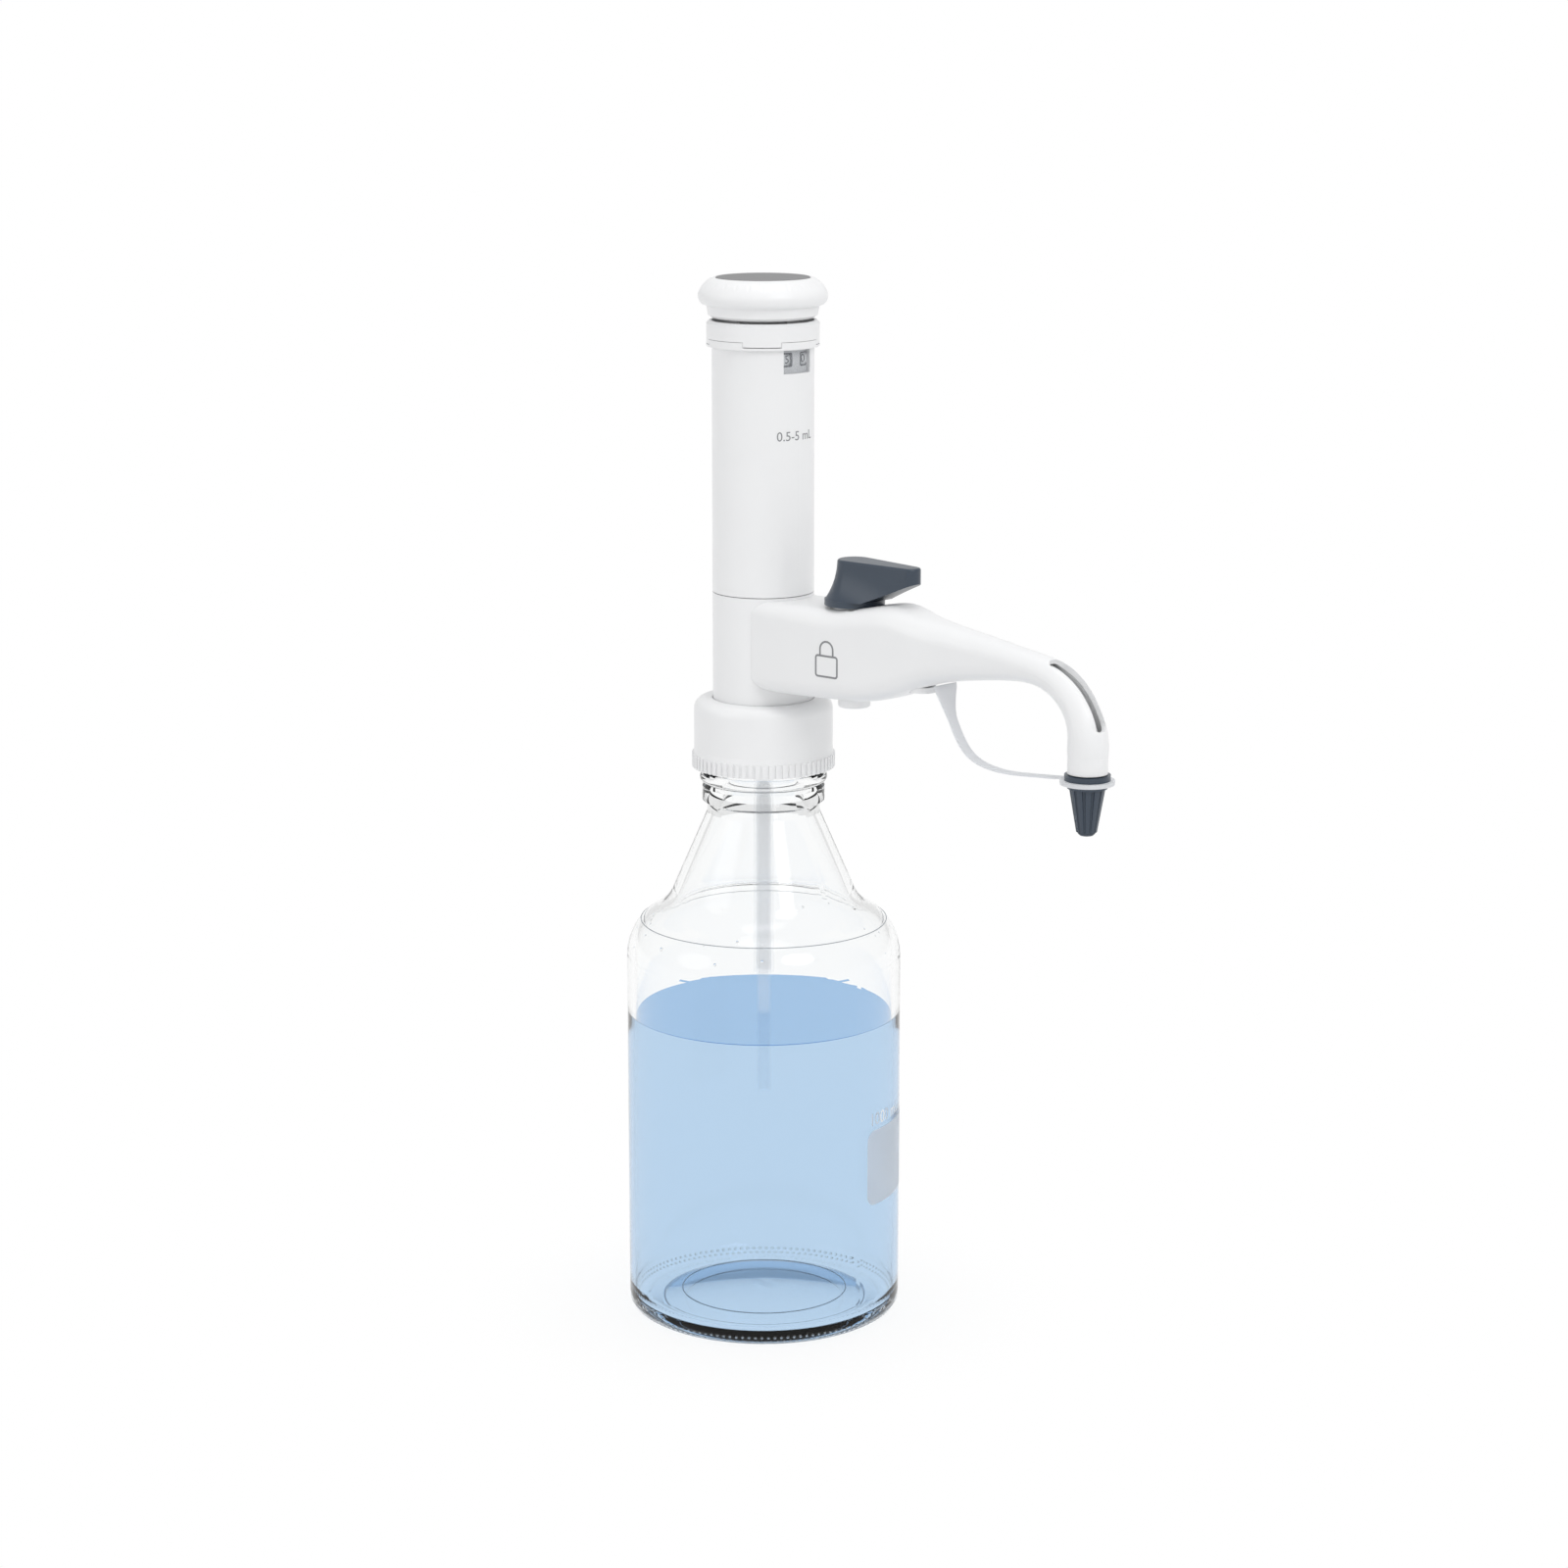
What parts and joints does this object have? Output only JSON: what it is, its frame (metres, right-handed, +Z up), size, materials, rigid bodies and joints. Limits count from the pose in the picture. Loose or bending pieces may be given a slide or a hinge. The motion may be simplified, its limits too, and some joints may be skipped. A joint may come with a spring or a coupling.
{
  "type": "bottle-top dispenser",
  "caption": "Piston dispenser screwed on a glass reagent bottle, with volume knob, digit window, valve lever, curved spout arm and tethered nozzle cap.",
  "frame": {"origin": "middle of the ring that the bottle stands on, on the axis of bottle and dispenser", "axes": "+Z up along the bottle's axis; +X towards the spout, which is the side with the window"},
  "size_m": [0.2166, 0.101, 0.3853],
  "materials": {
    "bottle_glass": "clear borosilicate glass",
    "barrel_glass": "clear ground glass",
    "white_plastic": "moulded, satin",
    "slate_plastic": "moulded, satin dark slate",
    "grey_plastic": "matt grey",
    "clear_plastic": "translucent tube",
    "strap_plastic": "translucent soft plastic",
    "seal_rubber": "pale elastomer",
    "fluoropolymer": "waxy white",
    "valve_ball": "polished glass",
    "steel": "drawn steel",
    "digit_plastic": "matt, printed digits",
    "liquid": "pale blue reagent"
  },
  "bodies": {
    "bottle": {"glass_bottle": "bottle_glass"},
    "neck_seal": {"neck_gasket": "seal_rubber"},
    "collar": {"screw_collar": "white_plastic"},
    "head": {"valve_block": "white_plastic", "glass_barrel": "barrel_glass", "barrel_clamp_nut": "fluoropolymer", "guard_tube": "white_plastic", "filling_valve": "fluoropolymer", "upper_filling_tube": "clear_plastic", "arm_housing": "white_plastic", "valve_manifold": "fluoropolymer", "discharge_valve_plug": "fluoropolymer", "socket_plug": "white_plastic", "delivery_tube": "clear_plastic", "spout_bush": "white_plastic", "cap_strap": "strap_plastic", "strap_stud": "white_plastic"},
    "filling_ball": {"filling_valve_ball": "valve_ball"},
    "discharge_ball": {"discharge_valve_ball": "valve_ball"},
    "lower_tube": {"lower_filling_tube": "clear_plastic"},
    "carriage": {"sleeve": "white_plastic", "window_lens": "clear_plastic", "lower_ring": "white_plastic", "upper_ring": "white_plastic", "counter_frame": "grey_plastic", "counter_axle": "steel", "guide_rods": "steel"},
    "knob": {"volume_knob": "white_plastic", "knob_disc": "grey_plastic", "retaining_clip": "steel", "piston_rod": "steel", "piston": "fluoropolymer", "piston_seal": "fluoropolymer"},
    "stop": {"stop_nut": "grey_plastic"},
    "units": {"units_wheel": "digit_plastic"},
    "tenths": {"tenths_wheel": "digit_plastic", "worm_gear": "grey_plastic"},
    "lever": {"valve_lever": "slate_plastic", "valve_rotor": "fluoropolymer"},
    "cap": {"nozzle_cap": "slate_plastic", "strap_ring": "strap_plastic"}
  },
  "joints": [
    {"name": "dispenser_lift", "type": "slide", "parent": "bottle", "child": "neck_seal", "axis": [0, 0, 1], "range_m": [0, 0.24]},
    {"name": "collar_turn", "type": "hinge", "parent": "neck_seal", "child": "collar", "pos_m": [0, 0, 0.225], "axis": [0, 0, 1], "continuous": true},
    {"name": "head_swivel", "type": "hinge", "parent": "neck_seal", "child": "head", "pos_m": [0, 0, 0.225], "axis": [0, 0, 1], "continuous": true},
    {"name": "filling_ball_lift", "type": "slide", "parent": "head", "child": "filling_ball", "axis": [0, 0, 1], "range_m": [0, 0.0015]},
    {"name": "discharge_ball_lift", "type": "slide", "parent": "head", "child": "discharge_ball", "axis": [0, 0, 1], "range_m": [0, 0.0015]},
    {"name": "tube_extend", "type": "slide", "parent": "head", "child": "lower_tube", "axis": [0, 0, -1], "range_m": [0, 0.06]},
    {"name": "piston_lift", "type": "slide", "parent": "head", "child": "carriage", "axis": [0, 0, 1], "range_m": [0, 0.0377]},
    {"name": "volume_turn", "type": "hinge", "parent": "carriage", "child": "knob", "pos_m": [0, 0, 0.37], "axis": [0, 0, 1], "range_deg": [-3240, 0]},
    {"name": "stop_travel", "type": "slide", "parent": "carriage", "child": "stop", "axis": [0, 0, 1], "range_m": [0, 0.0339]},
    {"name": "tenths_roll", "type": "hinge", "parent": "carriage", "child": "tenths", "pos_m": [0.0102, 0, 0.35715], "axis": [0, 1, 0], "range_deg": [-1620, 0]},
    {"name": "units_roll", "type": "hinge", "parent": "carriage", "child": "units", "pos_m": [0.0102, 0, 0.35715], "axis": [0, 1, 0], "range_deg": [-162, 0]},
    {"name": "valve_turn", "type": "hinge", "parent": "head", "child": "lever", "pos_m": [0.0465, 0, 0.26], "axis": [0, 0, 1], "range_deg": [-90, 90]},
    {"name": "cap_pull", "type": "slide", "parent": "head", "child": "cap", "axis": [0, 0, -1], "range_m": [0, 0.025], "deforming": ["cap_strap"]}
  ],
  "couplings": [
    {"joint": "stop_travel", "follows": "volume_turn", "m_per_rad": -0.00059948},
    {"joint": "tenths_roll", "follows": "volume_turn", "ratio": 0.5},
    {"joint": "units_roll", "follows": "volume_turn", "ratio": 0.05}
  ]
}
